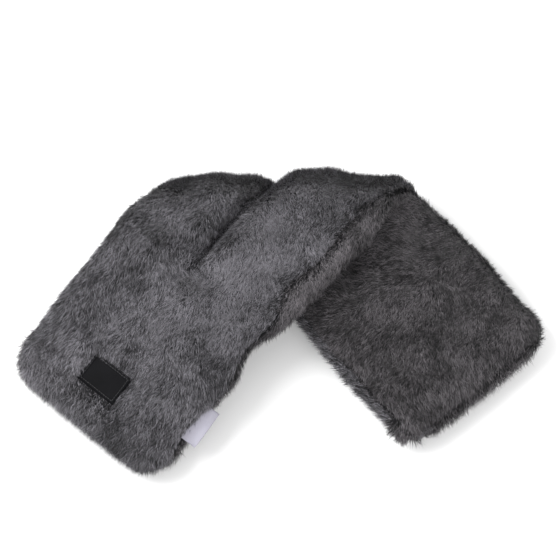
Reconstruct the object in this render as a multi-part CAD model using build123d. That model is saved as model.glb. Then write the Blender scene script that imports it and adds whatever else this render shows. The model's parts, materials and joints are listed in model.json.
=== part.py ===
from build123d import *

import os
from math import asin, atan2, cos, degrees, hypot, radians, sin, tan

# A grain-filled plush heat wrap, a band with an unstitched chamber at each end and a middle stretch
# that one centre stitch divides into two channels. It lies folded once, slantwise, over itself: the
# rear arm flat on the table, the front arm on top of it and drooping to the table at its end.
# Lengths are millimetres and angles degrees. Z is up. While it is built, the fold line is the X axis
# and both arms run towards -Y. The finished wrap is moved so that its box stands on the origin.

# The band
WIDTH = 150.0  # across an arm, over the pile
THICKNESS = 34.0  # one filled layer, over the pile
EDGE_ROUND = 13.0  # roundness of the long edges and of the ends, seen from the side
END_CORNER = 26.0  # corner radius of the ends, seen from above
PLUSH = 8.0  # backing cloth and pile of one panel
LINER = 0.6  # cloth of the inner grain bag
THREAD = 0.8

# The fold and the arms
ARM_ANGLE = 51.0  # between each arm and the fold line
LAYER_GAP = 0.6  # between the two layers at the fold
FRONT_LENGTH = 244.0  # from the fold axis to the front arm's outer end
REAR_LENGTH = 213.0
FRONT_BEND = 100.0  # from the fold axis to the line where the arm bends
REAR_BEND = 95.0
RUNNING_GAP = 0.3  # between pieces that turn about one another

# The centre stitch
FRONT_STITCH = 100.0  # from the fold axis to the stitch's end
REAR_STITCH = 69.0
GROOVE_WIDTH = 30.0
GROOVE_DEPTH = 12.0
CHANNEL_SPACE = 9.0  # from the stitch to each grain channel
STITCH_HEIGHT = 9.0
STITCH_LENGTH = 4.5
STITCH_PITCH = 6.0

# The fold's outer plush
FOLD_TRIM = 9.0  # its ends stop short of the band's edges, which are rounded
FOLD_VALLEY = (20.0, 2.0)  # wide and deep, where the centre stitch goes over the fold
CUSP = 4.5  # how far from the fold axes the plush between them starts

# The trimmings
SEAM_INSET = 3.0  # from the outer edge to the seam's thread
CLOSING_RUN = 70.0  # length of the hand-closed slit that the grain goes in through
PATCH_SIZE = (25.0, 36.0, 1.0)  # along the arm, across it, thick
PATCH_AT = (202.0, -4.0)  # from the fold axis, and from the centre line
PATCH_SINK = 4.0  # the patch's underside below the pile's surface
PATCH_POCKET = 1.0  # air round the patch
PATCH_HEM = 1.6  # from the patch's edge to its stitching
LABEL_SIZE = (32.0, 14.5, 0.8)  # along the seam, out from its hinge line, thick (two plies)
LABEL_AT = 186.0  # from the fold axis
LABEL_DROOP = 20.0
LABEL_GAP = 0.8  # from the seam to the label's hinge line

# Worked out from the above
HALF = THICKNESS / 2
LAYER_STEP = THICKNESS + LAYER_GAP
REAR_LEVEL = HALF
FRONT_LEVEL = REAR_LEVEL + LAYER_STEP
FOLD_SHIFT = LAYER_STEP / tan(radians(ARM_ANGLE))  # sideways step of the centre line over the fold
SOCKET = HALF + RUNNING_GAP
FRONT_END = FRONT_LENGTH - FRONT_BEND
REAR_END = REAR_LENGTH - REAR_BEND
ROUND_AT = (FRONT_END - EDGE_ROUND, HALF - EDGE_ROUND)  # centre of the lower rounding of its end
FRONT_DROOP = degrees(asin((FRONT_LEVEL - EDGE_ROUND) / hypot(*ROUND_AT)) - atan2(*reversed(ROUND_AT)))
FAR = 600.0  # longer than anything here

# Each arm's own frame: X along the arm away from the fold, Y across it, Z up, at mid-thickness
REAR_ARM = Plane(
    origin=(FOLD_SHIFT / 2, 0, REAR_LEVEL),
    x_dir=(cos(radians(ARM_ANGLE)), -sin(radians(ARM_ANGLE)), 0),
    z_dir=(0, 0, 1),
)
FRONT_ARM = Plane(
    origin=(-FOLD_SHIFT / 2, 0, FRONT_LEVEL),
    x_dir=(-cos(radians(ARM_ANGLE)), -sin(radians(ARM_ANGLE)), 0),
    z_dir=(0, 0, 1),
)


def band(inset, lower=None, upper=None):
    """An endless stretch of the band along X, inset from its surface, between two edges across it."""
    lower = -WIDTH / 2 + inset if lower is None else lower
    upper = WIDTH / 2 - inset if upper is None else upper
    section = RectangleRounded(upper - lower, THICKNESS - 2 * inset, EDGE_ROUND - inset)
    return extrude(Plane.YZ * Pos((lower + upper) / 2, 0) * section, FAR, both=True)


def channels(inset):
    """The two grain channels beside the centre stitch."""
    edge = WIDTH / 2 - inset
    space = CHANNEL_SPACE + inset - PLUSH
    return band(inset, -edge, -space), band(inset, space, edge)


def centre_grooves(stitched):
    """The valleys that the centre stitch pulls into both faces of the band, as far as it reaches."""
    half = GROOVE_WIDTH / 2
    valley = Polygon((-half, HALF), (half, HALF), (0, HALF - GROOVE_DEPTH), align=None)
    upper = Pos(stitched - FAR, 0, 0) * extrude(Plane.YZ * valley, FAR)
    return upper + upper.mirror(Plane.XY)


def fold_stop(level):
    """Everything on the arms' side of the fold axis, with a round nose on the axis."""
    slab = Pos(0, -FAR / 2, level) * Box(2 * FAR, FAR, THICKNESS)
    return slab + fold_cylinder(level, HALF)


def fold_cylinder(level, radius):
    return Pos(0, 0, level) * Rot(0, 90, 0) * Cylinder(radius, 2 * FAR)


def bend_stop(bend):
    """Everything of an arm up to its bend axis, with a round nose on the axis, in the arm's frame."""
    slab = Pos(bend - FAR / 2, 0, 0) * Box(FAR, FAR, THICKNESS)
    return slab + Pos(bend, 0, 0) * Rot(90, 0, 0) * Cylinder(HALF, FAR)


def halves(shape):
    """A shape above and below mid-thickness."""
    above = Pos(0, 0, FAR / 2) * Box(3 * FAR, 3 * FAR, FAR)
    return shape & above, shape - above


def centre_stitch(stitched):
    """The row of stitches along an arm's centre line, through both panels and the grain bag."""
    count = int(stitched / STITCH_PITCH)
    row = [
        Pos(stitched - STITCH_PITCH * i, 0, 0) * Box(STITCH_LENGTH, THREAD, STITCH_HEIGHT)
        for i in range(count)
    ]
    return Compound(children=row)


def without(shape, cuts):
    """A shape with every solid of some others taken out of it."""
    for cut in cuts:
        for solid in cut.solids():
            shape -= solid
    return shape


def make_neck(name, arm, bend, stitched, level, face_up):
    """One side of the stitched middle stretch: two panels, grain bag, two channels of grain, threads."""
    ends = bend_stop(bend) & (arm.location.inverse() * fold_stop(level))
    shell = band(0) - centre_grooves(stitched)
    left, right = channels(PLUSH)
    web = Box(2 * FAR, 2 * CHANNEL_SPACE + THREAD, 2 * LINER)
    bag = left + right + web
    grain_left, grain_right = channels(PLUSH + LINER)
    stitch = centre_stitch(stitched)
    side = WIDTH / 2 - SEAM_INSET
    seams = [Pos(0, s * side, 0) * Box(2 * FAR, THREAD, THREAD) for s in (-1, 1)]
    panels = without(shell - bag, [stitch, *seams])
    above, below = halves(panels)
    face, back = (above, below) if face_up else (below, above)
    pieces = {
        "face_panel": face,
        "back_panel": back,
        "liner": without(bag - grain_left - grain_right, [stitch]),
        "grain_left": grain_left,
        "grain_right": grain_right,
        "centre_stitch": stitch,
        "side_seams": seams[0] + seams[1],
    }
    return {f"{name}_{piece}": arm * (shape & ends) for piece, shape in pieces.items()}


def chamber(length, inset):
    """A rounded end chamber along X, inset from its surface, run on through its bend axis at X = 0."""
    size = length + FAR / 2 - inset
    radius = END_CORNER - inset
    plan = Pos(length - inset - size / 2, 0) * RectangleRounded(size, WIDTH - 2 * inset, radius)
    height = THICKNESS - 2 * inset
    block = Pos(0, 0, -height / 2) * extrude(plan, height)
    rims = block.faces().filter_by(Axis.Z).edges()
    return fillet(rims, EDGE_ROUND - inset)


def seam_loop(length):
    """The thread of the seam round an end chamber."""
    loops = []
    for inset in (SEAM_INSET, SEAM_INSET + THREAD):
        size = length + FAR / 2 - inset
        at = Pos(length - inset - size / 2, 0)
        loops.append(at * RectangleRounded(size, WIDTH - 2 * inset, END_CORNER - inset))
    return Pos(0, 0, -THREAD / 2) * extrude(loops[0] - loops[1], THREAD)


def beyond_socket():
    """Everything of a chamber past its flat inner end, which clears the neck's round nose."""
    return Pos(SOCKET + FAR / 2, 0, 0) * Box(FAR, FAR, FAR)


def make_chamber(name, length, face_up, cuts=()):
    """An end chamber in its own frame, with its bend axis along Y through the origin."""
    bag = chamber(length, PLUSH)
    grain = chamber(length, PLUSH + LINER)
    seam = seam_loop(length)
    panels = without(chamber(length, 0) - bag, [seam, *cuts])
    above, below = halves(panels)
    face, back = (above, below) if face_up else (below, above)
    pieces = {
        "face_panel": face,
        "back_panel": back,
        "liner": bag - grain,
        "grain": grain,
        "edge_seam": seam,
    }
    return {f"{name}_{piece}": shape & beyond_socket() for piece, shape in pieces.items()}


def closing_seam(length):
    """The thread that closes the filling slit, a rib along the seam in the middle of a chamber's end."""
    return Pos(length, 0, 0) * Box(THREAD, CLOSING_RUN, THREAD)


def make_rear_end():
    thread = closing_seam(REAR_END)
    nodes = make_chamber("rear_end", REAR_END, False, cuts=[thread])
    nodes["closing_seam"] = thread
    place = REAR_ARM.location * Pos(REAR_BEND, 0, 0)
    return {name: place * shape for name, shape in nodes.items()}


def patch_place():
    return Pos(PATCH_AT[0] - FRONT_BEND, PATCH_AT[1], HALF - PATCH_SINK)


def make_patch():
    """The woven patch and the thread that holds it, in the front chamber's frame."""
    length, width, thick = PATCH_SIZE
    patch = patch_place() * Pos(0, 0, thick / 2) * Box(length, width, thick)
    outer = Rectangle(length - 2 * PATCH_HEM, width - 2 * PATCH_HEM)
    inner = Rectangle(length - 2 * PATCH_HEM - THREAD, width - 2 * PATCH_HEM - THREAD)
    thread = patch_place() * Pos(0, 0, thick) * extrude(outer - inner, THREAD / 2)
    return patch, thread


def patch_pocket():
    """The hollow that the patch presses into the pile."""
    length, width = (side + 2 * PATCH_POCKET for side in PATCH_SIZE[:2])
    return patch_place() * Pos(0, 0, FAR / 2) * Box(length, width, FAR)


def make_front_end():
    nodes = make_chamber("front_end", FRONT_END, True, cuts=[patch_pocket()])
    nodes["brand_patch"], nodes["patch_stitching"] = make_patch()
    place = front_end_place()
    return {name: place * shape for name, shape in nodes.items()}


def front_end_place():
    """The front chamber's frame: at the front bend axis, drooping to the table."""
    return FRONT_ARM.location * Pos(FRONT_BEND, 0, 0) * Rot(0, FRONT_DROOP, 0)


def label_hinge():
    """The label's frame: at its hinge line along the seam, Y outwards."""
    return front_end_place() * Pos(LABEL_AT - FRONT_BEND, WIDTH / 2 + LABEL_GAP, 0)


def make_care_label():
    length, reach, thick = LABEL_SIZE
    ply = Pos(0, reach / 2, 0) * Box(length, reach, thick)
    root = Rot(0, 90, 0) * Cylinder(thick / 2, length)
    return {"care_label": label_hinge() * Rot(-LABEL_DROOP, 0, 0) * (ply + root)}


def make_fold():
    """The outer plush of the fold, between the two hinge lines, with its stretch of the stitch."""
    half = WIDTH / 2 / sin(radians(ARM_ANGLE)) - FOLD_TRIM
    outline = Polygon(
        (FOLD_SHIFT / 2 - half, REAR_LEVEL),
        (FOLD_SHIFT / 2 + half, REAR_LEVEL),
        (-FOLD_SHIFT / 2 + half, FRONT_LEVEL),
        (-FOLD_SHIFT / 2 - half, FRONT_LEVEL),
        align=None,
    )
    # The cusp between the two hinge lines is left out, because it has no thickness.
    depth = HALF - CUSP
    wall = Pos(0, HALF, 0) * extrude(Plane.XZ * outline, depth)
    for level in (REAR_LEVEL, FRONT_LEVEL):
        wall -= fold_cylinder(level, SOCKET)
    wide, deep = FOLD_VALLEY
    valley = slanted(Polygon((-wide / 2, deep), (wide / 2, deep), (0, -deep), align=None), HALF)
    stitch = slanted(Rectangle(THREAD, STITCH_HEIGHT / 2), HALF - deep - THREAD)
    stitch &= wall
    return {"fold_face_panel": wall - valley - stitch, "fold_centre_stitch": stitch}


def slanted(section, reach):
    """A section in the XY plane, run up the outside of the fold along the centre line's slant."""
    start = Plane.XY * Pos(FOLD_SHIFT / 2, reach, REAR_LEVEL) * section
    return extrude(start, LAYER_STEP, dir=(-FOLD_SHIFT, 0, LAYER_STEP))


def make_wrap():
    nodes = {}
    nodes.update(make_neck("rear_neck", REAR_ARM, REAR_BEND, REAR_STITCH, REAR_LEVEL, False))
    nodes.update(make_rear_end())
    nodes.update(make_fold())
    nodes.update(make_neck("front_neck", FRONT_ARM, FRONT_BEND, FRONT_STITCH, FRONT_LEVEL, True))
    nodes.update(make_front_end())
    nodes.update(make_care_label())
    return nodes


def to_origin(nodes):
    """The move that stands the whole wrap's box on the origin."""
    box = Compound(children=[copy_of(shape) for shape in nodes.values()]).bounding_box()
    return Pos(-box.center().X, -box.center().Y, -box.min.Z)


def copy_of(shape):
    return Pos(0, 0, 0) * shape


def main():
    nodes = make_wrap()
    move = to_origin(nodes)
    os.makedirs("parts", exist_ok=True)
    for name, shape in nodes.items():
        export_step(move * shape, f"parts/{name}.step")
    axes = {
        "fold_lower": Pos(FOLD_SHIFT / 2, 0, REAR_LEVEL),
        "fold_upper": Pos(-FOLD_SHIFT / 2, 0, FRONT_LEVEL),
        "front_bend": FRONT_ARM.location * Pos(FRONT_BEND, 0, 0),
        "rear_bend": REAR_ARM.location * Pos(REAR_BEND, 0, 0),
        "care_label_flap": label_hinge(),
        "underside": REAR_ARM.location * Pos(REAR_BEND + REAR_END / 2, 0, -HALF),
    }
    for name, place in axes.items():
        at = (move * place).position
        print(name, [round(v, 3) for v in at])


if __name__ == "__main__":
    main()
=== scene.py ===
import json
import math
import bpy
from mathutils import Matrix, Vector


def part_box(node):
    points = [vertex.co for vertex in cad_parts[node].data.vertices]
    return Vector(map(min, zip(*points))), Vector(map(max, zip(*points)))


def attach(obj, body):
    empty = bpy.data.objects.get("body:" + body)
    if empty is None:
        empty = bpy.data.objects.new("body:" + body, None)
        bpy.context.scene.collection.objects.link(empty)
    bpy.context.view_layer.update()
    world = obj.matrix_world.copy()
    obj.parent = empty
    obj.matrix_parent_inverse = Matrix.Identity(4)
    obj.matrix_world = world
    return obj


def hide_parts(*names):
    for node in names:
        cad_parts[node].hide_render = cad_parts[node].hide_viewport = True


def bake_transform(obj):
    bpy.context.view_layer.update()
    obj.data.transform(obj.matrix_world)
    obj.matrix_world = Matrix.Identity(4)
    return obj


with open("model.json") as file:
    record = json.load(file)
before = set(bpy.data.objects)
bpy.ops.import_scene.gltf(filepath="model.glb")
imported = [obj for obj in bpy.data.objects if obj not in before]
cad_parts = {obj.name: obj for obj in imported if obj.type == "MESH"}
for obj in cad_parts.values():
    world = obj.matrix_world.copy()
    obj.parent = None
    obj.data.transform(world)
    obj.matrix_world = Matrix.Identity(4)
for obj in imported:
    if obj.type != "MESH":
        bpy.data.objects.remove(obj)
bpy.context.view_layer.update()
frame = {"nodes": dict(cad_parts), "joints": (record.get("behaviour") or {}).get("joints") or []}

from types import SimpleNamespace

import bpy
import numpy as np
from bpy.props import FloatProperty, FloatVectorProperty, IntProperty, PointerProperty
from mathutils import Vector

bl_info = {
    "name": "Folded Plush Heat Wrap",
    "version": (1, 0, 0),
    "blender": (4, 5, 0),
    "location": "3D View > Sidebar > Heat Wrap",
    "description": "Padding, pile and trimmings of a grain-filled plush heat wrap on its packed frame",
    "category": "Add Mesh",
}

JOINTS = {joint["name"]: joint for joint in frame["joints"]}
UP_WAY = np.array([0.0, 0.0, 1.0])


def pivot(name):
    """A joint's place at rest."""
    return np.array(JOINTS[name]["pos_m"], float)


# The band lies in a plane before it is folded, with X as here and Q where the ground's Y would be.
# Along the band: 0 where its centre line starts to turn over the fold, growing towards the rear arm.
FOLD_LOW, FOLD_HIGH = pivot("fold_lower"), pivot("fold_upper")
TURN = (FOLD_HIGH[2] - FOLD_LOW[2]) / 2
ALONG = (FOLD_HIGH - pivot("front_bend"))[:2]
ALONG = ALONG / np.linalg.norm(ALONG)
SLANT = ALONG[0] / ALONG[1]
TANGENT_Y = FOLD_HIGH[1] - TURN
TANGENT_X = FOLD_HIGH[0] - SLANT * TURN
TURN_Q = (FOLD_LOW[0] + SLANT * TURN - TANGENT_X) / SLANT
AXIS_BACK = TURN / ALONG[1]
FRONT_BEND = float(np.linalg.norm((FOLD_HIGH - pivot("front_bend"))[:2]))
LABEL_RUN = JOINTS["care_label_flap"]["axis"]
FRONT_SLOPE = abs(LABEL_RUN[2]) / math.hypot(LABEL_RUN[0], LABEL_RUN[1])
REAR_BEND = float(np.linalg.norm((FOLD_LOW - pivot("rear_bend"))[:2]))

# Half the length over which the cloth bends at the arms' joints, in its shape
DROOP_HALF = 0.025
PIECES = ("front_end", "front_neck", "rear_neck", "rear_end")
PATCH_SIZE = (0.025, 0.036)


def smooth(value, low, high):
    """0 before low, 1 after high, and an even curve between."""
    t = np.clip((value - low) / (high - low), 0, 1)
    return t * t * (3 - 2 * t)


def hump(value, middle, spread):
    return np.exp(-(((value - middle) / spread) ** 2))


def unit(vectors):
    return vectors / (np.linalg.norm(vectors, axis=-1, keepdims=True) + 1e-12)


def front_reach(along):
    """Distance from the fold axis out along the front arm."""
    return AXIS_BACK - along


def rear_reach(along):
    """Distance from the fold axis out along the rear arm."""
    return along - TURN_Q / ALONG[1] + AXIS_BACK


class WrapShape(bpy.types.PropertyGroup):
    """The padded band itself, without its pile."""

    width: FloatProperty(
        name="Width", description="Across an arm, seam to seam", default=0.1435, unit="LENGTH"
    )
    thickness: FloatProperty(
        name="Thickness", description="Of one filled layer, without its pile", default=0.0215, unit="LENGTH"
    )
    front_length: FloatProperty(
        name="Front arm", description="From the fold axis to its outer end", default=0.2355, unit="LENGTH"
    )
    rear_length: FloatProperty(
        name="Rear arm", description="From the fold axis to its outer end", default=0.207, unit="LENGTH"
    )
    corner: FloatProperty(
        name="Front corners", description="Radius of the front end's corners", default=0.026, unit="LENGTH"
    )
    rear_corner: FloatProperty(
        name="Rear corners", description="Radius of the rear end's corners", default=0.017, unit="LENGTH"
    )
    end_round: FloatProperty(
        name="End roundness", description="Length over which an end thins out", default=0.027, unit="LENGTH"
    )
    stitch_front: FloatProperty(
        name="Stitch, front", description="From the fold axis to the centre stitch's front end",
        default=0.101, unit="LENGTH",
    )
    stitch_rear: FloatProperty(
        name="Stitch, rear", description="From the fold axis to the centre stitch's rear end",
        default=0.069, unit="LENGTH",
    )
    stitch_offset: FloatProperty(
        name="Stitch offset", description="From the centre line", default=-0.005, unit="LENGTH"
    )
    groove: FloatProperty(
        name="Groove depth", description="Share of the thickness that the centre stitch takes away",
        default=0.96, min=0, max=0.98,
    )
    groove_width: FloatProperty(
        name="Groove width", description="Half width of the valley beside the stitch",
        default=0.0075, unit="LENGTH",
    )
    lumps: FloatProperty(
        name="Lumps", description="How far the grain pushes the cloth out and in", default=0.0021,
        unit="LENGTH",
    )
    sideways: FloatProperty(
        name="Sideways", description="How far the filling has shifted to each arm's outer side",
        default=0.0042, unit="LENGTH",
    )
    bulge: FloatProperty(
        name="Bulge", description="How far the front chamber's label side has sagged outwards",
        default=0.0048, unit="LENGTH",
    )
    seed: IntProperty(name="Seed", description="Picks another arrangement of lumps", default=4)


class PileLook(bpy.types.PropertyGroup):
    """The faux fur."""

    density: FloatProperty(
        name="Density", description="Tufts on each square metre of the densest panel", default=4.2e6
    )
    length: FloatProperty(name="Length", description="Of a tuft", default=0.0092, unit="LENGTH")
    width: FloatProperty(name="Width", description="Of a tuft at its root", default=0.00054, unit="LENGTH")
    rise: FloatProperty(
        name="Rise", description="How far tufts stand up from the cloth; 0 lies flat", default=0.95
    )
    tousle: FloatProperty(name="Tousle", description="How far single tufts stray from the nap", default=0.36)
    swirl: FloatProperty(
        name="Swirl", description="How far the nap turns from patch to patch", default=0.75, subtype="ANGLE"
    )
    clump: FloatProperty(
        name="Clump size", description="Of tufts that stick together", default=0.0030, unit="LENGTH"
    )
    gather: FloatProperty(name="Gather", description="How far tufts lean into their clump", default=0.75)
    # The root colour is painted shade: the lower part of every tuft, and the backing under the pile, take
    # this much darker colour so the pile looks deep between its tufts.
    root: FloatVectorProperty(
        name="Root colour", description="Near the cloth", default=(0.009, 0.0088, 0.010), subtype="COLOR"
    )
    face: FloatVectorProperty(
        name="Face colour", description="Tips on the label side", default=(0.078, 0.0755, 0.083),
        subtype="COLOR",
    )
    back: FloatVectorProperty(
        name="Back colour", description="Tips on the other side", default=(0.059, 0.0548, 0.0585),
        subtype="COLOR",
    )


class TrimLook(bpy.types.PropertyGroup):
    """Patch, label and threads."""

    patch: FloatVectorProperty(
        name="Patch", description="Colour of the woven patch", default=(0.0025, 0.0025, 0.0032),
        subtype="COLOR",
    )
    label: FloatVectorProperty(
        name="Label", description="Colour of the ribbon label", default=(0.33, 0.32, 0.38), subtype="COLOR"
    )
    thread: FloatVectorProperty(
        name="Thread", description="Colour of the sewing thread", default=(0.006, 0.006, 0.007),
        subtype="COLOR",
    )


class StudioSetup(bpy.types.PropertyGroup):
    """Camera, lights and floor."""

    elevation: FloatProperty(
        name="Elevation", description="Of the camera", default=math.radians(70), subtype="ANGLE"
    )
    distance: FloatProperty(name="Distance", description="Of the camera", default=1.49, unit="LENGTH")
    lens: FloatProperty(name="Lens", description="Focal length in millimetres", default=120.0)
    aim: FloatVectorProperty(
        name="Aim", description="The point in the middle of the view", default=(0.0, 0.037, 0.017),
        subtype="TRANSLATION",
    )
    floor: FloatVectorProperty(
        name="Floor", description="Colour of the floor", default=(0.93, 0.93, 0.93), subtype="COLOR"
    )


# The band's surface


def droop(reach):
    """How far the front arm's middle has sunk, and how steeply it sinks, going out along it."""
    low, high = FRONT_BEND - DROOP_HALF, FRONT_BEND + DROOP_HALF
    t = np.clip((reach - low) / (high - low), 0, 1)
    sunk = (high - low) * (t**3 - t**4 / 2) + np.maximum(reach - high, 0)
    return FRONT_SLOPE * sunk, FRONT_SLOPE * t * t * (3 - 2 * t)


def place(along, across, out):
    """Points of the folded wrap from places on the flat band; out is towards the face panel's side."""
    x = TANGENT_X + along * ALONG[0] + across * ALONG[1]
    q = along * ALONG[1] - across * ALONG[0]
    angle = np.pi * np.clip(q / TURN_Q, 0, 1)
    y = TANGENT_Y + np.minimum(q, 0) - np.maximum(q - TURN_Q, 0) + (TURN + out) * np.sin(angle)
    z = FOLD_LOW[2] + TURN + (TURN + out) * np.cos(angle)
    sunk, slope = droop(front_reach(along))
    lean = out * slope / np.sqrt(1 + slope * slope)
    return np.stack([x - lean * ALONG[0], y - lean * ALONG[1], z - sunk], -1)


def waves(rng, along, across, length, count=7):
    """Smooth random hills between about -1 and 1."""
    total = np.zeros_like(along)
    for _ in range(count):
        turn, phase = rng.uniform(0, 2 * np.pi, 2)
        step = 2 * np.pi / (length * rng.uniform(0.75, 1.35))
        total += np.sin(step * (along * np.cos(turn) + across * np.sin(turn)) + phase)
    return total / np.sqrt(count)


def stations(shape):
    """Places along the band, close together at its rounded ends."""
    first = AXIS_BACK - shape.front_length
    last = TURN_Q / ALONG[1] - AXIS_BACK + shape.rear_length
    end = (1 - np.cos(np.linspace(0.08, np.pi / 2, 11))) * shape.end_round
    count = int((last - first - 2 * shape.end_round) / 0.0032)
    middle = np.linspace(first + shape.end_round, last - shape.end_round, count)
    return first, last, np.concatenate([first + end[:-1], middle, (last - end[:-1])[::-1]])


def seam_rise(along):
    """How far the right and the left seam have rolled up from the band's edge."""
    reach_front, reach_rear = front_reach(along), rear_reach(along)
    right = 0.015 * smooth(-reach_front, -0.105, -0.055) * (1 - smooth(reach_rear, -0.02, 0.02))
    left = 0.010 * smooth(reach_rear, 0.02, 0.06)
    return right + 0.002, left - 0.002


def band_surface(shape, inset=0.0):
    """The band's skin as a grid of sections, with what the pile and the materials need at each point."""
    first, last, along = stations(shape)
    edge = np.minimum(along - first, last - along)
    corner = np.where(along < 0, shape.corner, shape.rear_corner)
    half_width = shape.width / 2 - corner + np.sqrt(corner**2 - np.maximum(corner - edge, 0) ** 2)
    taper = np.sqrt(1 - (1 - np.clip(edge / shape.end_round, 0, 1)) ** 2)
    rng = np.random.default_rng(shape.seed)
    half_count = 56
    t = np.linspace(1, -1, half_count + 1)
    # A section has nearly flat faces and blunt edges
    share = np.concatenate([np.sin(np.pi / 2 * t), np.sin(np.pi / 2 * t[::-1])[1:-1]])
    side = np.concatenate([np.ones(half_count + 1), -np.ones(half_count - 1)])
    profile = (1 - np.abs(share) ** 5.5) ** (1 / 2.1)
    middle = (first + last) / 2
    s = np.repeat(along[:, None], len(share), 1)
    s = middle + (s - middle) * (1 - 3 * inset / (last - middle))
    half_width = half_width * (1 - 2.5 * inset / (shape.width / 2))
    lean = shape.sideways * (2 * smooth(s, -0.06, 0.10) - 1)
    v = half_width[:, None] * share[None, :] + lean
    sag = smooth(-s, 0.080, 0.115) * (1 + 0.4 * hump(s, -0.125, 0.03))
    v += shape.bulge * smooth(share, 0.3, 1)[None, :] * sag
    n = side * profile * (shape.thickness / 2) * taper[:, None]

    # Lumps of grain, different on the two sides
    grain_hills = np.where(side > 0, waves(rng, s, v, 0.07), waves(rng, s, v, 0.07))
    small_hills = np.where(side > 0, waves(rng, s, v, 0.028), waves(rng, s, v, 0.028))
    n += side * profile * taper[:, None] * shape.lumps * (grain_hills + 0.45 * small_hills)
    v *= 1 + 0.012 * waves(rng, s, np.zeros_like(s), 0.06)

    # The centre stitch's valley, its dimpled ends, and the channels puffed up beside it
    stitched = smooth(-front_reach(s), -shape.stitch_front, -shape.stitch_front + 0.010)
    stitched *= 1 - smooth(rear_reach(s), shape.stitch_rear - 0.010, shape.stitch_rear)
    from_stitch = v - shape.stitch_offset
    valley = stitched * hump(from_stitch, 0, shape.groove_width)
    for reach, stop in ((front_reach(s), shape.stitch_front), (rear_reach(s), shape.stitch_rear)):
        dimple = hump(np.hypot(reach - stop + 0.006, from_stitch), 0, 0.014) * (reach > 0)
        valley = np.maximum(valley, dimple)
    n *= 1 - shape.groove * valley
    puffed = hump(np.abs(from_stitch), 0.034, 0.022) * smooth(-front_reach(s), -0.13, -0.09)
    puffed *= 1 - smooth(rear_reach(s), 0.07, 0.11)
    n *= 1 + 0.16 * puffed

    # The flattened right edge beside the fold, which lies down on the rear arm
    flat = smooth(v, 0.035, 0.068) * smooth(-front_reach(s), -0.125, -0.075)
    flat *= 1 - smooth(s, 0.02, 0.09)
    v += 0.011 * flat
    n -= 0.002 * flat

    # Distances round each section, and to the seams
    rise_right, rise_left = seam_rise(along)
    step = np.hypot(np.roll(v, -1, 1) - v, np.roll(n, -1, 1) - n)
    around = np.cumsum(step, 1) - step
    girth = step.sum(1)[:, None]
    far_edge = around[:, half_count][:, None]
    right = (around - rise_right[:, None] + girth / 2) % girth - girth / 2
    left = around - (far_edge + rise_left[:, None])
    is_face = (around > rise_right[:, None]) & (left < 0)
    from_side = np.where(np.abs(right) < np.abs(left), right, left)
    end_arc = np.hypot(edge[:, None], n) * np.where(s > middle, -np.sign(n + 1e-12), 1)
    end_rise = np.where(s > middle, 0.005, 0.0)
    from_end = np.where(edge[:, None] < 0.035, end_arc - end_rise, 1.0)
    is_face = np.where((edge[:, None] < 0.02) & (s > 0), is_face & (from_end < 0) | (n > 0), is_face)
    seam = np.minimum(np.abs(from_side), np.abs(from_end))
    pinch = 0.0024 * np.exp(-((seam / 0.0035) ** 2)) * smooth(edge[:, None], 0.0, 0.012)
    n *= 1 - 1.1 * inset / (shape.thickness / 2)
    points = place(s, v, n)
    normal = grid_normals(points)
    points = points - normal * pinch[..., None]
    return SimpleNamespace(
        s=s, v=v, n=n, points=points, normal=normal, seam=seam, from_side=from_side, from_end=from_end,
        is_face=is_face, edge=np.repeat(edge[:, None], len(share), 1), stitched=stitched,
        from_stitch=from_stitch, half_count=half_count,
    )


def grid_normals(points):
    """Outward normals of a grid of closed sections."""
    down = np.gradient(points, axis=0)
    round_ = np.roll(points, -1, 1) - np.roll(points, 1, 1)
    normal = unit(np.cross(round_, down))
    middle = points.mean(1, keepdims=True)
    if np.sum(normal * (points - middle)) < 0:
        normal = -normal
    return normal


def grid_faces(surface):
    """The skin's quads: between neighbouring sections, and across each flat end."""
    rows, columns = surface.s.shape
    index = np.arange(rows * columns).reshape(rows, columns)
    beside = np.roll(index, -1, 1)
    quads = np.stack([index[:-1], index[1:], beside[1:], beside[:-1]], -1).reshape(-1, 4)
    ends = []
    for row, flip in ((0, True), (rows - 1, False)):
        top = index[row, : surface.half_count + 1]
        bottom = np.concatenate([[index[row, 0]], index[row, : surface.half_count - 1 : -1]])
        for k in range(surface.half_count):
            loop = [top[k], top[k + 1], bottom[k + 1], bottom[k]]
            ends.append(loop[::-1] if flip else loop)
    return [list(q) for q in quads] + [list(dict.fromkeys(q)) for q in ends]


def nap_of(surface):
    """The way the pile lies at each point, as a tangent vector."""
    s, v = surface.s, surface.v
    step = 0.0005
    ahead = unit(place(s + step, v, surface.n) - place(s - step, v, surface.n))
    beside = unit(place(s, v + step, surface.n) - place(s, v - step, surface.n))
    turn = np.radians(-42) + np.radians(92) * smooth(rear_reach(s), 0.02, 0.19)
    on_rear = smooth(rear_reach(s), -0.03, 0.02)
    back_along = on_rear * np.sin(turn) - (1 - on_rear) * 0.9
    back_across = -on_rear * np.cos(turn) + (1 - on_rear) * 0.3
    part_along = np.where(surface.is_face, -0.89, back_along)
    part_across = np.where(surface.is_face, 0.45, back_across)
    nap = ahead * part_along[..., None] + beside * part_across[..., None]
    # Beside a seam and beside the centre stitch the pile parts
    round_ = unit(np.roll(surface.points, -1, 1) - np.roll(surface.points, 1, 1))
    away = round_ * np.sign(surface.from_side)[..., None]
    inward = ahead * np.where(s > 0, -1.0, 1.0)[..., None] * np.sign(surface.from_end)[..., None]
    near_end = np.abs(surface.from_end) < np.abs(surface.from_side)
    away = np.where(near_end[..., None], inward, away)
    part = 0.6 * np.exp(-surface.seam / 0.005)[..., None]
    groove = 0.7 * surface.stitched * np.exp(-np.abs(surface.from_stitch) / 0.008)
    groove = (groove * np.sign(surface.from_stitch))[..., None]
    nap = nap * (1 - part) + away * part + beside * groove
    return unit(nap - surface.normal * np.sum(nap * surface.normal, -1, keepdims=True))


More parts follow.
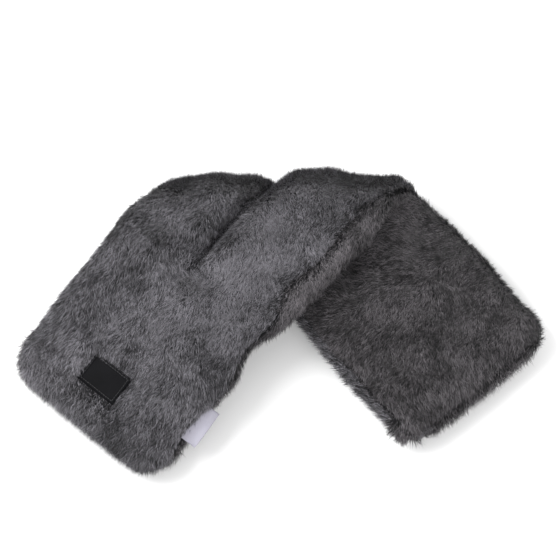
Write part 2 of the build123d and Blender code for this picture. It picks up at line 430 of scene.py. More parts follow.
def piece_of(s, v):
    """Which of the band's four pieces a place belongs to, counted from the front arm's end."""
    q = s * ALONG[1] - v * ALONG[0]
    piece = np.where(q < TURN_Q / 2, 1, 2)
    piece = np.where(front_reach(s) > FRONT_BEND - 0.019, 0, piece)
    return np.where((rear_reach(s) > REAR_BEND - 0.017) & (q > TURN_Q), 3, piece)


def blend_piece(piece, which):
    """Bakes a piece's transform into its mesh, the same for every piece."""
    if which == "front_end":
        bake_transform(piece)
    elif which == "rear_end":
        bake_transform(piece)
    elif which == "front_neck":
        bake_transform(piece)
    else:
        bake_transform(piece)


def carry(piece, body, node):
    """Ties a piece to the body that carries it and hides the node it stands for."""
    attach(piece, body)
    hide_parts(node)


# Mesh helpers


def new_object(name, points, faces, materials, smooth_shading=True):
    mesh = bpy.data.meshes.new(name)
    mesh.from_pydata([tuple(p) for p in points], [], faces)
    mesh.update()
    if smooth_shading:
        mesh.shade_smooth()
    made = bpy.data.objects.new(name, mesh)
    bpy.context.scene.collection.objects.link(made)
    for material in materials:
        mesh.materials.append(material)
    return made


def cut_out(faces, keep):
    """The kept faces with only their own points: old point numbers and renumbered faces."""
    chosen = [f for f, k in zip(faces, keep) if k]
    used = sorted({i for f in chosen for i in f})
    number = {old: new for new, old in enumerate(used)}
    return np.array(used), [[number[i] for i in f] for f in chosen]


def face_centres(values, faces):
    return np.array([np.mean([values[i] for i in f]) for f in faces])


def divided(surface):
    """The band's faces, which piece each belongs to, and how far along the band it lies."""
    faces = grid_faces(surface)
    along = face_centres(surface.s.ravel(), faces)
    return faces, piece_of(along, face_centres(surface.v.ravel(), faces)), along


def add_attribute(mesh, name, kind, values):
    attribute = mesh.attributes.new(name, kind, "POINT")
    field = "vector" if kind == "FLOAT_VECTOR" else "value"
    attribute.data.foreach_set(field, np.ravel(values).astype(np.float32))


# Materials


class TreeMaker:
    """Short ways to add and join nodes in one tree."""

    def __init__(self, tree):
        self.tree = tree

    def socket(self, name, kind, out=False):
        way = "OUTPUT" if out else "INPUT"
        self.tree.interface.new_socket(name, in_out=way, socket_type=f"NodeSocket{kind}")

    def node(self, kind, settings=None, **inputs):
        made = self.tree.nodes.new(kind)
        for key, value in (settings or {}).items():
            setattr(made, key, value)
        self.fill(made, **inputs)
        return made

    def fill(self, node, **inputs):
        """Sets or links a node's inputs by name, with _ for a space, or by number after a _."""
        for key, value in inputs.items():
            self.feed(node, key, value)

    def feed(self, node, key, value):
        where = int(key[1:]) if key[0] == "_" and key[1:].isdigit() else key.replace("_", " ")
        target = node.inputs[where]
        if isinstance(value, bpy.types.NodeSocket):
            self.tree.links.new(value, target)
        else:
            target.default_value = value

    def math(self, operation, a, b=0.0, c=0.0):
        return self.node("ShaderNodeMath", {"operation": operation}, _0=a, _1=b, _2=c).outputs[0]

    def vector(self, operation, a, b=None):
        made = self.node("ShaderNodeVectorMath", {"operation": operation}, _0=a)
        if b is not None:
            self.feed(made, "Scale" if operation == "SCALE" else "_1", b)
        return made.outputs["Value" if operation in {"LENGTH", "DOT_PRODUCT"} else "Vector"]

    def ramp(self, factor, low, high, start=0.0, end=1.0):
        """A colour between low and high."""
        made = self.node("ShaderNodeValToRGB", Fac=factor)
        for element, colour, position in zip(made.color_ramp.elements, (low, high), (start, end)):
            element.position = position
            element.color = (*colour, 1)
        return made.outputs["Color"]

    def named(self, name, kind):
        made = self.node("GeometryNodeInputNamedAttribute", {"data_type": kind})
        made.inputs["Name"].default_value = name
        return made.outputs["Attribute"]

    def random(self, low, high, seed, kind="FLOAT"):
        made = self.node("FunctionNodeRandomValue", {"data_type": kind})
        sockets = [x for x in made.inputs if x.enabled]
        sockets[0].default_value = low
        sockets[1].default_value = high
        self.tree.links.new(seed, next(x for x in made.inputs if x.name == "Seed"))
        return next(x for x in made.outputs if x.enabled)


def new_material(name, base=(0.8, 0.8, 0.8), **inputs):
    """A material with its tree's maker and its shader, with even values for the shader's inputs."""
    material = bpy.data.materials.new(name)
    material.use_nodes = True
    make, shader = TreeMaker(material.node_tree), material.node_tree.nodes["Principled BSDF"]
    make.fill(shader, Base_Color=(*base, 1), **inputs)
    material.diffuse_color = (*base, 1)
    return material, make, shader


def tuft_material(name, colour, sheen):
    """One of the pile's shades. The pile's pattern is its tufts, so each shade is even."""
    return new_material(
        name, colour, Roughness=0.62, Specular_IOR_Level=0.22, Sheen_Weight=sheen, Sheen_Roughness=0.45,
    )[0]


def weave_group():
    """A plain weave: Height and Shade from Coordinates and Scale."""
    found = bpy.data.node_groups.get("Plain Weave")
    if found:
        return found
    make = TreeMaker(bpy.data.node_groups.new("Plain Weave", "ShaderNodeTree"))
    make.socket("Coordinates", "Vector")
    for name, out in (("Scale", False), ("Height", True), ("Shade", True)):
        make.socket(name, "Float", out=out)
    come, go = make.node("NodeGroupInput").outputs, make.node("NodeGroupOutput")
    bands = [
        make.node(
            "ShaderNodeTexWave", {"bands_direction": direction},
            Vector=come["Coordinates"], Scale=come["Scale"], Distortion=0.6, Detail=1.0,
        ).outputs["Fac"]
        for direction in ("X", "Y")
    ]
    both = make.math("MULTIPLY", bands[0], bands[1])
    cloud = make.node("ShaderNodeTexNoise", Vector=come["Coordinates"], Scale=60.0, Detail=4.0)
    make.fill(go, Height=both, Shade=make.math("MULTIPLY_ADD", both, 0.6, cloud.outputs["Fac"]))
    return make.tree


def cloth_material(name, dark, light, scale, roughness, bump=0.4, sheen=0.2, specular=0.3):
    """A woven or knitted cloth between two colours."""
    material, make, shader = new_material(name, light, Sheen_Weight=sheen, Specular_IOR_Level=specular)
    here = make.node("ShaderNodeTexCoord").outputs["Object"]
    weave = make.node("ShaderNodeGroup", {"node_tree": weave_group()}, Scale=scale, Coordinates=here)
    shade = weave.outputs["Shade"]
    rough = make.node("ShaderNodeMapRange", Value=shade, To_Min=roughness - 0.08, To_Max=roughness + 0.08)
    dent = make.node("ShaderNodeBump", Strength=bump, Distance=0.0002, Height=weave.outputs["Height"])
    make.fill(
        shader, Base_Color=make.ramp(shade, dark, light, 0.25, 1.05), Roughness=rough.outputs["Result"],
        Normal=dent.outputs["Normal"],
    )
    return material


def millet_material():
    """Loose millet: round seeds in straw colours."""
    material, make, shader = new_material("Millet", Roughness=0.55)
    here = make.node("ShaderNodeTexCoord").outputs["Object"]
    seeds = make.node("ShaderNodeTexVoronoi", Vector=here, Scale=520.0).outputs
    pick = make.node("ShaderNodeSeparateXYZ", _0=seeds["Color"]).outputs["X"]
    dent = make.node("ShaderNodeBump", {"invert": True}, Distance=0.0008, Height=seeds["Distance"])
    colour = make.ramp(pick, (0.30, 0.19, 0.07), (0.72, 0.55, 0.27))
    make.fill(shader, Base_Color=colour, Normal=dent.outputs["Normal"])
    return material


def scaled(colour, factor):
    return tuple(min(c * factor, 1.0) for c in colour)


TONES = (0.16, 0.42, 0.95, 1.8, 3.1)


def pile_palette(name, root, tip):
    """Two root shades, which are painted shade deep in the pile, then the tips from dark to light."""
    roots = [tuft_material(f"{name} root {k}", scaled(root, f), 0.05) for k, f in enumerate((1.0, 2.2))]
    return roots + [tuft_material(f"{name} tip {k}", scaled(tip, f), 0.25) for k, f in enumerate(TONES)]


# The pile's node tree


def blade(make, bend):
    """One tuft, a blade of a quad and a tip, standing along Z, one unit long and wide."""
    grid = make.node("GeometryNodeMeshGrid", Size_X=1.0, Size_Y=1.0, Vertices_X=2, Vertices_Y=3)
    spot = make.node("ShaderNodeSeparateXYZ", _0=make.node("GeometryNodeInputPosition").outputs[0])
    height = make.math("ADD", spot.outputs["Y"], 0.5)
    taper = make.math("SUBTRACT", 1.0, make.math("POWER", height, 1.8))
    wide = make.math("MULTIPLY", spot.outputs["X"], taper)
    bow = make.math("MULTIPLY", make.math("POWER", height, 2.0), bend)
    shaped = make.node("ShaderNodeCombineXYZ", X=wide, Y=bow, Z=height)
    moved = make.node("GeometryNodeSetPosition", Geometry=grid.outputs["Mesh"], Position=shaped.outputs[0])
    joined = make.node("GeometryNodeMergeByDistance", Geometry=moved.outputs[0], Distance=0.001)
    half = make.node("ShaderNodeSeparateXYZ", _0=make.node("GeometryNodeInputPosition").outputs[0])
    tip = make.math("GREATER_THAN", half.outputs["Z"], 0.5)
    marked = make.node(
        "GeometryNodeStoreNamedAttribute", {"data_type": "FLOAT", "domain": "FACE"},
        Geometry=joined.outputs[0], Name="tip", Value=tip,
    )
    return marked.outputs[0]


def pile_tree(name, palette):
    """Grows tufts on a scalp that carries nap, up, pile, thick and wild attributes and one of painted light
    and shade.
    """
    make = TreeMaker(bpy.data.node_groups.new(name, "GeometryNodeTree"))
    make.tree.is_modifier = True
    make.socket("Geometry", "Geometry")
    for title in ("Density", "Length", "Width", "Rise", "Tousle", "Swirl", "Clump", "Gather"):
        make.socket(title, "Float")
    make.socket("Seed", "Int")
    make.socket("Geometry", "Geometry", out=True)
    come, go = make.node("NodeGroupInput"), make.node("NodeGroupOutput")
    get = come.outputs
    seed = get["Seed"]
    seeds = [make.math("ADD", seed, k * 17.0) for k in range(8)]

    thick = make.math("MULTIPLY", get["Density"], make.named("thick", "FLOAT"))
    scatter = make.node(
        "GeometryNodeDistributePointsOnFaces", {"distribute_method": "RANDOM"},
        Mesh=get["Geometry"], Density=thick, Seed=seed,
    )
    here = make.node("GeometryNodeInputPosition").outputs[0]
    nap, up = make.named("nap", "FLOAT_VECTOR"), make.named("up", "FLOAT_VECTOR")

    # The nap turns from patch to patch, and its lean changes
    swirl = make.node("ShaderNodeTexNoise", Vector=here, Scale=26.0, Detail=2.0).outputs["Fac"]
    swirl = make.math("MULTIPLY", make.math("SUBTRACT", swirl, 0.5), make.math("MULTIPLY", get["Swirl"], 3.0))
    fine = make.node("ShaderNodeTexNoise", Vector=here, Scale=85.0, Detail=2.0).outputs["Fac"]
    fine = make.math("MULTIPLY", make.math("SUBTRACT", fine, 0.5), make.math("MULTIPLY", get["Swirl"], 2.2))
    turned = make.node(
        "ShaderNodeVectorRotate", {"rotation_type": "AXIS_ANGLE"},
        Vector=nap, Axis=up, Angle=make.math("ADD", swirl, fine),
    ).outputs[0]
    patch = make.node("ShaderNodeTexNoise", Vector=here, Scale=34.0, Detail=3.0).outputs["Fac"]
    rise = make.math("MULTIPLY_ADD", make.math("SUBTRACT", patch, 0.5), 1.3, get["Rise"])

    # Tufts lean into their clump
    stretch = make.vector("ADD", here, make.vector("SCALE", turned, 0.002))
    cell = make.node("ShaderNodeTexVoronoi", Vector=stretch, Scale=make.math("DIVIDE", 1.0, get["Clump"]))
    pull = make.vector("SUBTRACT", cell.outputs["Position"], stretch)
    gather = make.math("MULTIPLY_ADD", make.named("wild", "FLOAT"), 0.6, get["Gather"])
    pull = make.vector("SCALE", pull, make.math("DIVIDE", gather, get["Length"]))
    stray = make.random((-1, -1, -1), (1, 1, 1), seeds[1], "FLOAT_VECTOR")
    wild = make.math("ADD", make.named("wild", "FLOAT"), 1.0)
    stray = make.vector("SCALE", stray, make.math("MULTIPLY", get["Tousle"], wild))
    way = make.vector("ADD", turned, make.vector("SCALE", up, rise))
    way = make.vector("ADD", way, make.vector("ADD", pull, stray))
    way = make.vector("NORMALIZE", way)
    aim = make.node("FunctionNodeAlignRotationToVector", {"axis": "Z"}, Vector=way)
    aim = make.node(
        "FunctionNodeAlignRotationToVector", {"axis": "Y", "pivot_axis": "Z"},
        Rotation=aim.outputs[0], Vector=up,
    )
    twist = make.node("ShaderNodeCombineXYZ", Z=make.random(-0.7, 0.7, seeds[2])).outputs[0]
    twist = make.node("FunctionNodeEulerToRotation", Euler=twist).outputs[0]
    aim = make.node(
        "FunctionNodeRotateRotation", {"rotation_space": "LOCAL"},
        Rotation=aim.outputs[0], Rotate_By=twist,
    )
    size = make.math("MULTIPLY", get["Length"], make.named("pile", "FLOAT"))
    size = make.math("MULTIPLY", size, make.random(0.72, 1.18, seeds[3]))
    size = make.math("MULTIPLY", size, make.math("MULTIPLY_ADD", patch, 0.5, 0.75))
    broad = make.math("MULTIPLY", get["Width"], make.random(0.6, 1.3, seeds[4]))
    scale = make.node("ShaderNodeCombineXYZ", X=broad, Y=size, Z=size)

    # Shade: each clump has its own, and each tuft strays a little from it. The clump and cloud tones paint
    # the light and dark patches of the nap's sheen, painted sheen and shade; each tuft's stray is random
    # tone.
    clump_shade = make.node("ShaderNodeSeparateXYZ", _0=cell.outputs["Color"]).outputs["X"]
    cloud = make.node("ShaderNodeTexNoise", Vector=here, Scale=45.0, Detail=3.0).outputs["Fac"]
    tone = make.math("MULTIPLY_ADD", clump_shade, 0.36, make.math("MULTIPLY_ADD", cloud, 1.0, -0.50))
    tone = make.math("ADD", tone, make.random(-0.12, 0.80, seeds[5]))
    # The scalp's painted light and shade lightens and darkens the tone.
    tone = make.math("ADD", tone, make.named("brushed", "FLOAT"))
    toned = make.node(
        "GeometryNodeStoreNamedAttribute", {"data_type": "FLOAT", "domain": "POINT"},
        Geometry=scatter.outputs["Points"], Name="tone", Value=tone,
    )
    tufts = make.node(
        "GeometryNodeInstanceOnPoints", Points=toned.outputs[0], Instance=blade(make, -0.22),
        Rotation=aim.outputs[0], Scale=scale.outputs[0],
    )
    geometry = make.node("GeometryNodeRealizeInstances", Geometry=tufts.outputs[0]).outputs[0]

    tip, tone = make.named("tip", "FLOAT"), make.named("tone", "FLOAT")
    # The lower part of each tuft takes a root shade: painted shade deep in the pile.
    picks = [(palette[0], None), (palette[1], make.math("GREATER_THAN", tone, 0.6))]
    for k, material in enumerate(palette[2:]):
        lighter = make.math("GREATER_THAN", tone, 0.2 * k) if k else 1.0
        picks.append((material, make.math("MULTIPLY", tip, lighter)))
    for material, choose in picks:
        setter = make.node("GeometryNodeSetMaterial", Geometry=geometry)
        setter.inputs["Material"].default_value = material
        if choose is not None:
            make.feed(setter, "Selection", choose)
        geometry = setter.outputs[0]
    make.feed(go, "Geometry", geometry)
    return make.tree


def grow(scalp, tree, look, seed):
    """Runs a pile tree on a scalp and returns the tufts as a plain mesh object."""
    modifier = scalp.modifiers.new("Pile", "NODES")
    modifier.node_group = tree
    values = {
        "Density": look.density, "Length": look.length, "Width": look.width, "Rise": look.rise,
        "Tousle": look.tousle, "Swirl": look.swirl, "Clump": look.clump, "Gather": look.gather, "Seed": seed,
    }
    for item in tree.interface.items_tree:
        if item.in_out == "INPUT" and item.name in values:
            modifier[item.identifier] = values[item.name]
    graph = bpy.context.evaluated_depsgraph_get()
    mesh = bpy.data.meshes.new_from_object(scalp.evaluated_get(graph), depsgraph=graph)
    made = bpy.data.objects.new(scalp.name.replace("scalp", "pile"), mesh)
    mesh.name = made.name
    bpy.context.scene.collection.objects.link(made)
    bpy.data.objects.remove(scalp)
    for name in ("tip", "tone"):
        if name in mesh.attributes:
            mesh.attributes.remove(mesh.attributes[name])
    return made


def settle(mesh, floor=0.0004):
    """Presses what would go through the surface that the wrap lies on back above it."""
    co = np.empty(len(mesh.vertices) * 3, np.float32)
    mesh.vertices.foreach_get("co", co)
    co = co.reshape(-1, 3)
    low = co[:, 2] < floor
    co[low, 2] = floor + 0.0003 * np.tanh((co[low, 2] - floor) / -0.01)
    mesh.vertices.foreach_set("co", co.ravel())
    mesh.update()


# Operators

CLOTH_NODES = {
    "front_end": ("front_end_face_panel", "front_end_back_panel", "front_end_edge_seam"),
    "front_neck": ("front_neck_face_panel", "front_neck_back_panel", "front_neck_side_seams"),
    "rear_neck": (
        "rear_neck_face_panel", "rear_neck_back_panel", "rear_neck_side_seams", "fold_face_panel",
    ),
    "rear_end": ("rear_end_face_panel", "rear_end_back_panel", "rear_end_edge_seam"),
}
STITCH_NODES = {
    "front_neck": ("front_neck_centre_stitch",),
    "rear_neck": ("rear_neck_centre_stitch", "fold_centre_stitch"),
}
BAG_NODES = {name: (f"{name}_liner",) for name in PIECES}
GRAIN_NODES = {
    "front_end": ("front_end_grain",),
    "front_neck": ("front_neck_grain_left", "front_neck_grain_right"),
    "rear_neck": ("rear_neck_grain_left", "rear_neck_grain_right"),
    "rear_end": ("rear_end_grain",),
}


def make_layer(shape, label, inset, material, nodes_of):
    """One layer of the band as four pieces."""
    surface = band_surface(shape, inset)
    faces, which, _ = divided(surface)
    s, v = surface.s.ravel(), surface.v.ravel()
    flat = surface.points.reshape(-1, 3)
    for number, name in enumerate(PIECES):
        used, own = cut_out(faces, which == number)
        piece = new_object(f"{name}_{label}", flat[used], own, [material])
        settle(piece.data)
        layer = piece.data.uv_layers.new(name="band")
        corners = np.empty(len(piece.data.loops), np.int32)
        piece.data.loops.foreach_get("vertex_index", corners)
        uv = np.stack([s[used][corners], v[used][corners]], -1)
        layer.data.foreach_set("uv", uv.astype(np.float32).ravel())
        blend_piece(piece, name)
        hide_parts(*nodes_of[name])


class WRAP_OT_padding(bpy.types.Operator):
    """Make the padded band: plush backing, grain bag and grain, folded and drooping"""

    bl_idname = "wrap.padding"
    bl_label = "Padded Band"

    def execute(self, context):
        shape = context.scene.wrap_shape
        look = context.scene.pile_look
        # The backing takes the root colour: painted shade that shows between the tufts.
        backing = cloth_material("Plush backing", scaled(look.root, 0.7), scaled(look.root, 1.8), 900, 0.9)
        cotton = cloth_material("Cotton bag", (0.52, 0.48, 0.40), (0.78, 0.74, 0.66), 700, 0.85, bump=0.5)
        make_layer(shape, "padding", 0.0, backing, CLOTH_NODES)
        make_layer(shape, "grain_bag", 0.0028, cotton, BAG_NODES)
        make_layer(shape, "millet", 0.0038, millet_material(), GRAIN_NODES)
        return {"FINISHED"}


def patch_frame():
    """The woven patch's middle, its two directions and its outward normal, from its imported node."""
    mesh = frame["nodes"]["brand_patch"].data
    co = np.array([v.co[:] for v in mesh.vertices])
    middle = (co.min(0) + co.max(0)) / 2
    across = np.array([ALONG[1], -ALONG[0], 0.0])
    facing = [np.array(p.normal[:]) for p in mesh.polygons if p.normal.z > 0.8]
    normal = np.mean(facing, 0)
    normal /= np.linalg.norm(normal)
    along = np.cross(normal, across)
    return middle, along / np.linalg.norm(along), across, normal


class WRAP_OT_pile(bpy.types.Operator):
    """Grow the pile on both panels"""

    bl_idname = "wrap.pile"
    bl_label = "Plush Pile"

    def execute(self, context):
        shape, look = context.scene.wrap_shape, context.scene.pile_look
        surface = band_surface(shape)
        nap = nap_of(surface)
        faces, which, position = divided(surface)
        facing = face_centres(surface.is_face.ravel().astype(float), faces) > 0.5
        trees = {
            "face": pile_tree("Face pile", pile_palette("Face plush", look.root, look.face)),
            "back": pile_tree("Back pile", pile_palette("Back plush", look.root, look.back)),
        }
        length = pile_length(surface, patch_gap(surface))
        seed = 11
        for number, name in enumerate(PIECES):
            for side in trees:
                mask = (which == number) & (facing == (side == "face"))
                parts = DENSE_PANELS.get((name, side), 1)
                share = 1.0 if parts > 1 else THINNER
                order = np.quantile(position[mask], np.linspace(0, 1, parts + 1))
                order[-1] += 1
                for part in range(parts):
                    seed += 1
                    keep = mask & (position >= order[part]) & (position < order[part + 1])
                    label = f"{name}_{side}_scalp_{part + 1}"
                    scalp = self.scalp(label, surface, faces, keep, nap, length, share)
                    piece = grow(scalp, trees[side], look, seed)
                    settle(piece.data)
                    blend_piece(piece, name)
        return {"FINISHED"}

    def scalp(self, label, surface, faces, keep, nap, length, share):
        """A part of the skin with what the pile's tree reads at each point."""
        used, own = cut_out(faces, keep)
        piece = new_object(label, surface.points.reshape(-1, 3)[used], own, [])
        for name, values in (("nap", nap), ("up", surface.normal)):
            add_attribute(piece.data, name, "FLOAT_VECTOR", values.reshape(-1, 3)[used])
        under = smooth(-surface.normal[..., 2], 0.2, 0.7)
        values = {
            "pile": length,
            "wild": 0.9 * smooth(front_reach(surface.s), 0.185, 0.230),
            # Painted light and shade for the pile's tone.
            "brushed": brushed(surface),
            "thick": (length > 0.05) * share * (1 - 0.5 * under),
        }
        for name, value in values.items():
            add_attribute(piece.data, name, "FLOAT", value.ravel()[used])
        return piece


# The panels whose pile is seen best, with how many meshes each takes; the others take one, and less pile
DENSE_PANELS = {("front_end", "face"): 2, ("front_neck", "face"): 2, ("rear_end", "back"): 2}
THINNER = 0.85


def patch_gap(surface):
    """Distance of each point from the patch's outline, below 0 under the patch."""
    middle, along, across, _ = patch_frame()
    offset = surface.points - middle
    half_along, half_across = np.array(PATCH_SIZE) / 2
    away = np.maximum(np.abs(offset @ along) - half_along, np.abs(offset @ across) - half_across)
    return np.where(surface.n > 0, away, 1.0)


# Places of painted light and shade on the pile: how much lighter, below 0 darker, then middle and spread
# along the band and across it
PAINTED_LIGHT_AND_SHADE_SPOTS = (
    (0.42, -0.030, 0.055, 0.030, 0.030),
    (0.16, -0.175, 0.050, -0.045, 0.030),
    (0.14, -0.105, 0.030, 0.005, 0.035),
    (0.06, -0.030, 0.050, -0.045, 0.022),
    (-0.14, -0.200, 0.030, 0.030, 0.035),
    (-0.12, -0.130, 0.025, -0.055, 0.020),
)


def brushed(surface):
    """How much lighter the pile is painted where light falls on it, and how much darker where shade falls:
    painted light and shade.
    """
    s, v = surface.s, surface.v
    light = sum(a * hump(s, b, c) * hump(v, d, e) for a, b, c, d, e in PAINTED_LIGHT_AND_SHADE_SPOTS)
    # Painted shade on the rear arm just past the fold.
    light -= 0.14 * hump(rear_reach(s), 0.03, 0.03)
    # Painted light: a lit strip on the back panel along the front arm's right edge beside the fold.
    lit_strip = np.where(surface.is_face, 0.0, 0.45 * hump(s, -0.02, 0.05) * smooth(v, 0.050, 0.062))
    return np.where(surface.n > 0, light, 0.0) + lit_strip


def pile_length(surface, patch):
    """The pile's length at each point, as a share of the full length."""
    length = 0.65 + 0.35 * smooth(surface.seam, 0.0, 0.007)
    length *= 1 - 0.82 * surface.stitched * np.exp(-((surface.from_stitch / 0.0055) ** 2))
    length *= 0.55 + 0.45 * smooth(patch, 0.0, 0.008)
    length *= 1 + 0.28 * smooth(front_reach(surface.s), 0.195, 0.228)
    length *= 1 + 0.15 * smooth(rear_reach(surface.s), 0.170, 0.200)
    return np.where(patch < 0.0005, 0.0, length)


class WRAP_OT_patch(bpy.types.Operator):
    """Make the blank woven patch with its folded edge and its stitching"""

    bl_idname = "wrap.patch"
    bl_label = "Woven Patch"

    def execute(self, context):
        trim = context.scene.trim_look
        middle, along, across, normal = patch_frame()
        middle = middle - normal * 0.0004
        cloth = cloth_material(
            "Woven patch", scaled(trim.patch, 0.6), scaled(trim.patch, 1.8), 650, 0.5, bump=0.5,
            sheen=0.0, specular=0.07,
        )
        half_along, half_across = np.array(PATCH_SIZE) / 2
        thick, fold = 0.0009, 0.0022
        rows, columns = 27, 39
        a = np.linspace(-half_along, half_along, rows)
        b = np.linspace(-half_across, half_across, columns)
        grid_a, grid_b = np.meshgrid(a, b, indexing="ij")
        inward = np.minimum(half_along - np.abs(grid_a), half_across - np.abs(grid_b))
        rim = 0.00045 * (1 - smooth(inward, fold * 0.8, fold * 1.15)) * smooth(inward, -0.0001, 0.0006)
        hills = patch_hills(grid_a, grid_b)
        base = middle + grid_a[..., None] * along + grid_b[..., None] * across
        top = base + (rim + hills + thick)[..., None] * normal
        under = base + hills[..., None] * normal
        piece = new_object("brand_patch_cloth", *closed_sheet(top, under), [cloth])
        carry(piece, "front_end", "brand_patch")

        thread = cloth_material("Thread", scaled(trim.thread, 0.8), scaled(trim.thread, 2.4), 2400, 0.5)
        edge_a, edge_b, pitch = half_along - fold, half_across - fold, 0.0023
        corners = [(-edge_a, -edge_b), (edge_a, -edge_b), (edge_a, edge_b), (-edge_a, edge_b)]
        points, faces = [], []
        for k in range(4):
            start, end = np.array(corners[k]), np.array(corners[(k + 1) % 4])
            length = np.linalg.norm(end - start)
            count = round(length / pitch)
            way = (end - start) / length
            run = way[0] * along + way[1] * across
            for i in range(count):
                x, y = start + (end - start) * (i + 0.5) / count
                height = thick + 0.0006 + patch_hills(x, y)
                at = middle + x * along + y * across + height * normal
                add_stitch(points, faces, at, run, normal, pitch * 0.72, 0.00026)
        piece = new_object("patch_stitches", points, faces, [thread])
        carry(piece, "front_end", "patch_stitching")
        return {"FINISHED"}


def patch_hills(along, across):
    """The patch's own waves, and how its two ends hang down beside the grain's bulge."""
    waves_ = 0.0005 * np.sin(along * 190 + 0.6) * np.cos(across * 130)
    return waves_ - 0.0007 * (2 * across / PATCH_SIZE[1]) ** 2


def closed_sheet(top, under):
    """Points and faces of a thin sheet from two grids of points."""
    rows, columns = top.shape[:2]
    index = np.arange(rows * columns).reshape(rows, columns)
    low = index + rows * columns
    faces = []
    for i in range(rows - 1):
        for j in range(columns - 1):
            faces.append([index[i, j], index[i + 1, j], index[i + 1, j + 1], index[i, j + 1]])
            faces.append([low[i, j], low[i, j + 1], low[i + 1, j + 1], low[i + 1, j]])
    rim = [(i, 0) for i in range(rows)] + [(rows - 1, j) for j in range(1, columns)]
    rim += [(i, columns - 1) for i in range(rows - 2, -1, -1)] + [(0, j) for j in range(columns - 2, 0, -1)]
    for (i, j), (k, m) in zip(rim, rim[1:] + rim[:1]):
        faces.append([index[k, m], index[i, j], low[i, j], low[k, m]])
    return [*top.reshape(-1, 3), *under.reshape(-1, 3)], faces


def add_stitch(points, faces, at, run, up, length, radius):
    """One plump stitch of thread, lying along run."""
    side = np.cross(run, up)
    first = len(points)
    rings, spokes = 5, 6
    for i in range(rings):
        t = -1 + 2 * i / (rings - 1)
        size = radius * math.sqrt(max(1 - 0.85 * t * t, 0.05))
        for k in range(spokes):
            turn = 2 * math.pi * k / spokes
            lift = -radius * 0.9 * t * t
            points.append(
                at + run * (t * length / 2) + side * (math.cos(turn) * size)
                + up * (math.sin(turn) * size + lift)
            )
    for i in range(rings - 1):
        for k in range(spokes):
            a, b = first + i * spokes + k, first + i * spokes + (k + 1) % spokes
            faces.append([a, a + spokes, b + spokes, b])
    faces.append([first + k for k in range(spokes)])
    faces.append([first + (rings - 1) * spokes + k for k in reversed(range(spokes))])


class WRAP_OT_label(bpy.types.Operator):
    """Make the ribbon care label, folded double and sewn into the seam"""

    bl_idname = "wrap.label"
    bl_label = "Care Label"

    def execute(self, context):
        trim = context.scene.trim_look
        satin = cloth_material(
            "Satin ribbon", scaled(trim.label, 0.86), scaled(trim.label, 1.1), 1500, 0.38, bump=0.25,
            sheen=0.15, specular=0.5,
        )
        hinge = JOINTS["care_label_flap"]
        root, run = np.array(hinge["pos_m"]), np.array(hinge["axis"])
        low, high = (np.array(corner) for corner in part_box("care_label"))
        out = (low + high) / 2 - root
        out -= run * (out @ run)
        out /= np.linalg.norm(out)
        up = np.cross(run, out)
        if up[2] < 0:
            up = -up
        reach, half, hidden, ply = 0.0070, 0.016, 0.0130, 0.00035
        d = np.linspace(-hidden, reach, 24)
        w = np.linspace(-half, half, 20)
        grid_d, grid_w = np.meshgrid(d, w, indexing="ij")
        curl = 0.0016 * np.sin(grid_w * 120 + 0.8) * smooth(grid_d, 0.0, reach)
        curl -= 0.0435 * grid_d * np.abs(grid_d)
        curl += 0.0007 * (grid_w / half) * smooth(grid_d, 0.002, reach)
        sheet = root + grid_d[..., None] * out + grid_w[..., None] * run + curl[..., None] * up
        piece = new_object("care_label_ribbon", *closed_sheet(sheet + up * ply, sheet - up * ply), [satin])
        carry(piece, "care_label", "care_label")
        return {"FINISHED"}


class WRAP_OT_threads(bpy.types.Operator):
    """Sew the closing seam at the rear end and the centre stitch"""

    bl_idname = "wrap.threads"
    bl_label = "Threads"

    def execute(self, context):
        thread = bpy.data.materials["Thread"]
        surface = band_surface(context.scene.wrap_shape)
        points, faces = [], []
        low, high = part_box("closing_seam")
        half = math.dist(low[:2], high[:2]) / 2
        row = surface.points.shape[0] - 4
        flank = surface.half_count
        for i in range(flank // 6, flank - flank // 6):
            a, b = surface.points[row, 2 * flank - i], surface.points[row, 2 * flank - i - 1]
            if np.linalg.norm((a + b)[:2] / 2 - np.add(low, high)[:2] / 2) > half:
                continue
            run = (b - a) / np.linalg.norm(b - a) + 0.35 * surface.normal[row, 2 * flank - i]
            run /= np.linalg.norm(run)
            add_stitch(points, faces, (a + b) / 2, run, UP_WAY, 0.0026, 0.0004)
        if not points:
            raise RuntimeError("the closing seam has no stitches")
        seam = new_object("closing_stitches", points, faces, [thread])
        carry(seam, "rear_end", "closing_seam")
        self.centre_stitch(surface, thread)
        return {"FINISHED"}

    def centre_stitch(self, surface, thread):
        """A row of stitches along the bottom of the valley on both sides, in pieces as the band is."""
        middle = np.abs(surface.from_stitch)
        rows = [i for i in range(1, len(surface.s) - 1) if surface.stitched[i].max() > 0.6]
        made = [([], []) for _ in PIECES]
        for i in rows[::2]:
            for half in (surface.n[i] >= 0, surface.n[i] < 0):
                j = int(np.argmin(np.where(half, middle[i], 1.0)))
                at, normal = surface.points[i, j], surface.normal[i, j]
                run = surface.points[i + 1, j] - surface.points[i - 1, j]
                run /= np.linalg.norm(run)
                points, faces = made[int(piece_of(surface.s[i, j], surface.v[i, j]))]
                add_stitch(points, faces, at + normal * 0.0004, run, normal, 0.0042, 0.0004)
        for name, (points, faces) in zip(PIECES, made):
            if not points:
                continue
            row = new_object(f"{name}_stitches", points, faces, [thread])
            blend_piece(row, name)
            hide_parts(*STITCH_NODES.get(name, ()))


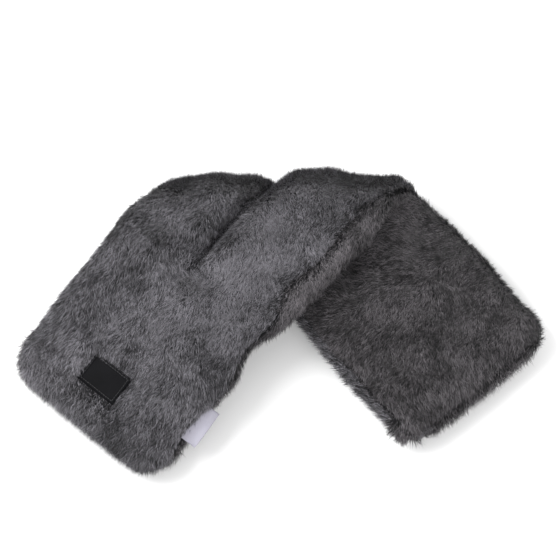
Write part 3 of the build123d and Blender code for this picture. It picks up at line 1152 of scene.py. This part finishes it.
class WRAP_OT_stage(bpy.types.Operator):
    """Set up the floor, the lights and the camera"""

    bl_idname = "wrap.stage"
    bl_label = "Studio"

    def execute(self, context):
        setup = context.scene.studio_setup
        scene = context.scene
        scene.view_settings.view_transform = "Standard"
        card = new_material("Pale floor", setup.floor, Roughness=0.9, Specular_IOR_Level=0.1)[0]
        half = 4.0
        corners = [(-half, -half, 0), (half, -half, 0), (half, half, 0), (-half, half, 0)]
        new_object("floor", corners, [[0, 1, 2, 3]], [card], smooth_shading=False)
        world = bpy.data.worlds.new("Studio")
        scene.world = world
        world.use_nodes = True
        world.node_tree.nodes["Background"].inputs["Color"].default_value = (1, 1, 1, 1)
        world.node_tree.nodes["Background"].inputs["Strength"].default_value = 0.95
        self.area("Key", (-0.75, 0.25, 0.95), 0.9, 15.0)
        self.area("Fill", (0.35, -1.1, 0.8), 0.9, 7.0)

        camera = bpy.data.cameras.new("Camera")
        camera.lens = setup.lens
        camera.clip_start = 0.01
        eye = bpy.data.objects.new("Camera", camera)
        scene.collection.objects.link(eye)
        aim = Vector(setup.aim)
        back = Vector((0, -math.cos(setup.elevation), math.sin(setup.elevation)))
        eye.location = aim + back * setup.distance
        eye.rotation_euler = back.to_track_quat("Z", "Y").to_euler()
        scene.camera = eye
        return {"FINISHED"}

    def area(self, name, place_, size, power):
        light = bpy.data.lights.new(name, "AREA")
        light.shape = "DISK"
        light.size = size
        light.energy = power
        made = bpy.data.objects.new(name, light)
        made.location = place_
        made.rotation_euler = (Vector(place_) - Vector((0, 0, 0.03))).to_track_quat("Z", "Y").to_euler()
        bpy.context.scene.collection.objects.link(made)


class WRAP_PT_panel(bpy.types.Panel):
    """Lists the wrap's pieces and their settings"""

    bl_label = "Heat Wrap"
    bl_idname = "WRAP_PT_panel"
    bl_space_type = "VIEW_3D"
    bl_region_type = "UI"
    bl_category = "Heat Wrap"

    def draw(self, context):
        for operator in OPERATORS:
            self.layout.operator(operator.bl_idname)
        for name in PROPERTY_GROUPS:
            box = self.layout.box()
            settings = getattr(context.scene, name)
            for prop in settings.bl_rna.properties:
                if prop.identifier not in {"rna_type", "name"}:
                    box.prop(settings, prop.identifier)


PROPERTY_GROUPS = {
    "wrap_shape": WrapShape,
    "pile_look": PileLook,
    "trim_look": TrimLook,
    "studio_setup": StudioSetup,
}
OPERATORS = (WRAP_OT_stage, WRAP_OT_padding, WRAP_OT_pile, WRAP_OT_patch, WRAP_OT_label, WRAP_OT_threads)


def register():
    for group in PROPERTY_GROUPS.values():
        bpy.utils.register_class(group)
    for name, group in PROPERTY_GROUPS.items():
        setattr(bpy.types.Scene, name, PointerProperty(type=group))
    for operator in OPERATORS:
        bpy.utils.register_class(operator)
    bpy.utils.register_class(WRAP_PT_panel)


def unregister():
    bpy.utils.unregister_class(WRAP_PT_panel)
    for operator in reversed(OPERATORS):
        bpy.utils.unregister_class(operator)
    for name, group in PROPERTY_GROUPS.items():
        delattr(bpy.types.Scene, name)
        bpy.utils.unregister_class(group)


def main():
    register()
    bpy.ops.wrap.stage()
    bpy.ops.wrap.padding()
    bpy.ops.wrap.pile()
    bpy.ops.wrap.patch()
    bpy.ops.wrap.label()
    bpy.ops.wrap.threads()


if __name__ == "__main__":
    main()
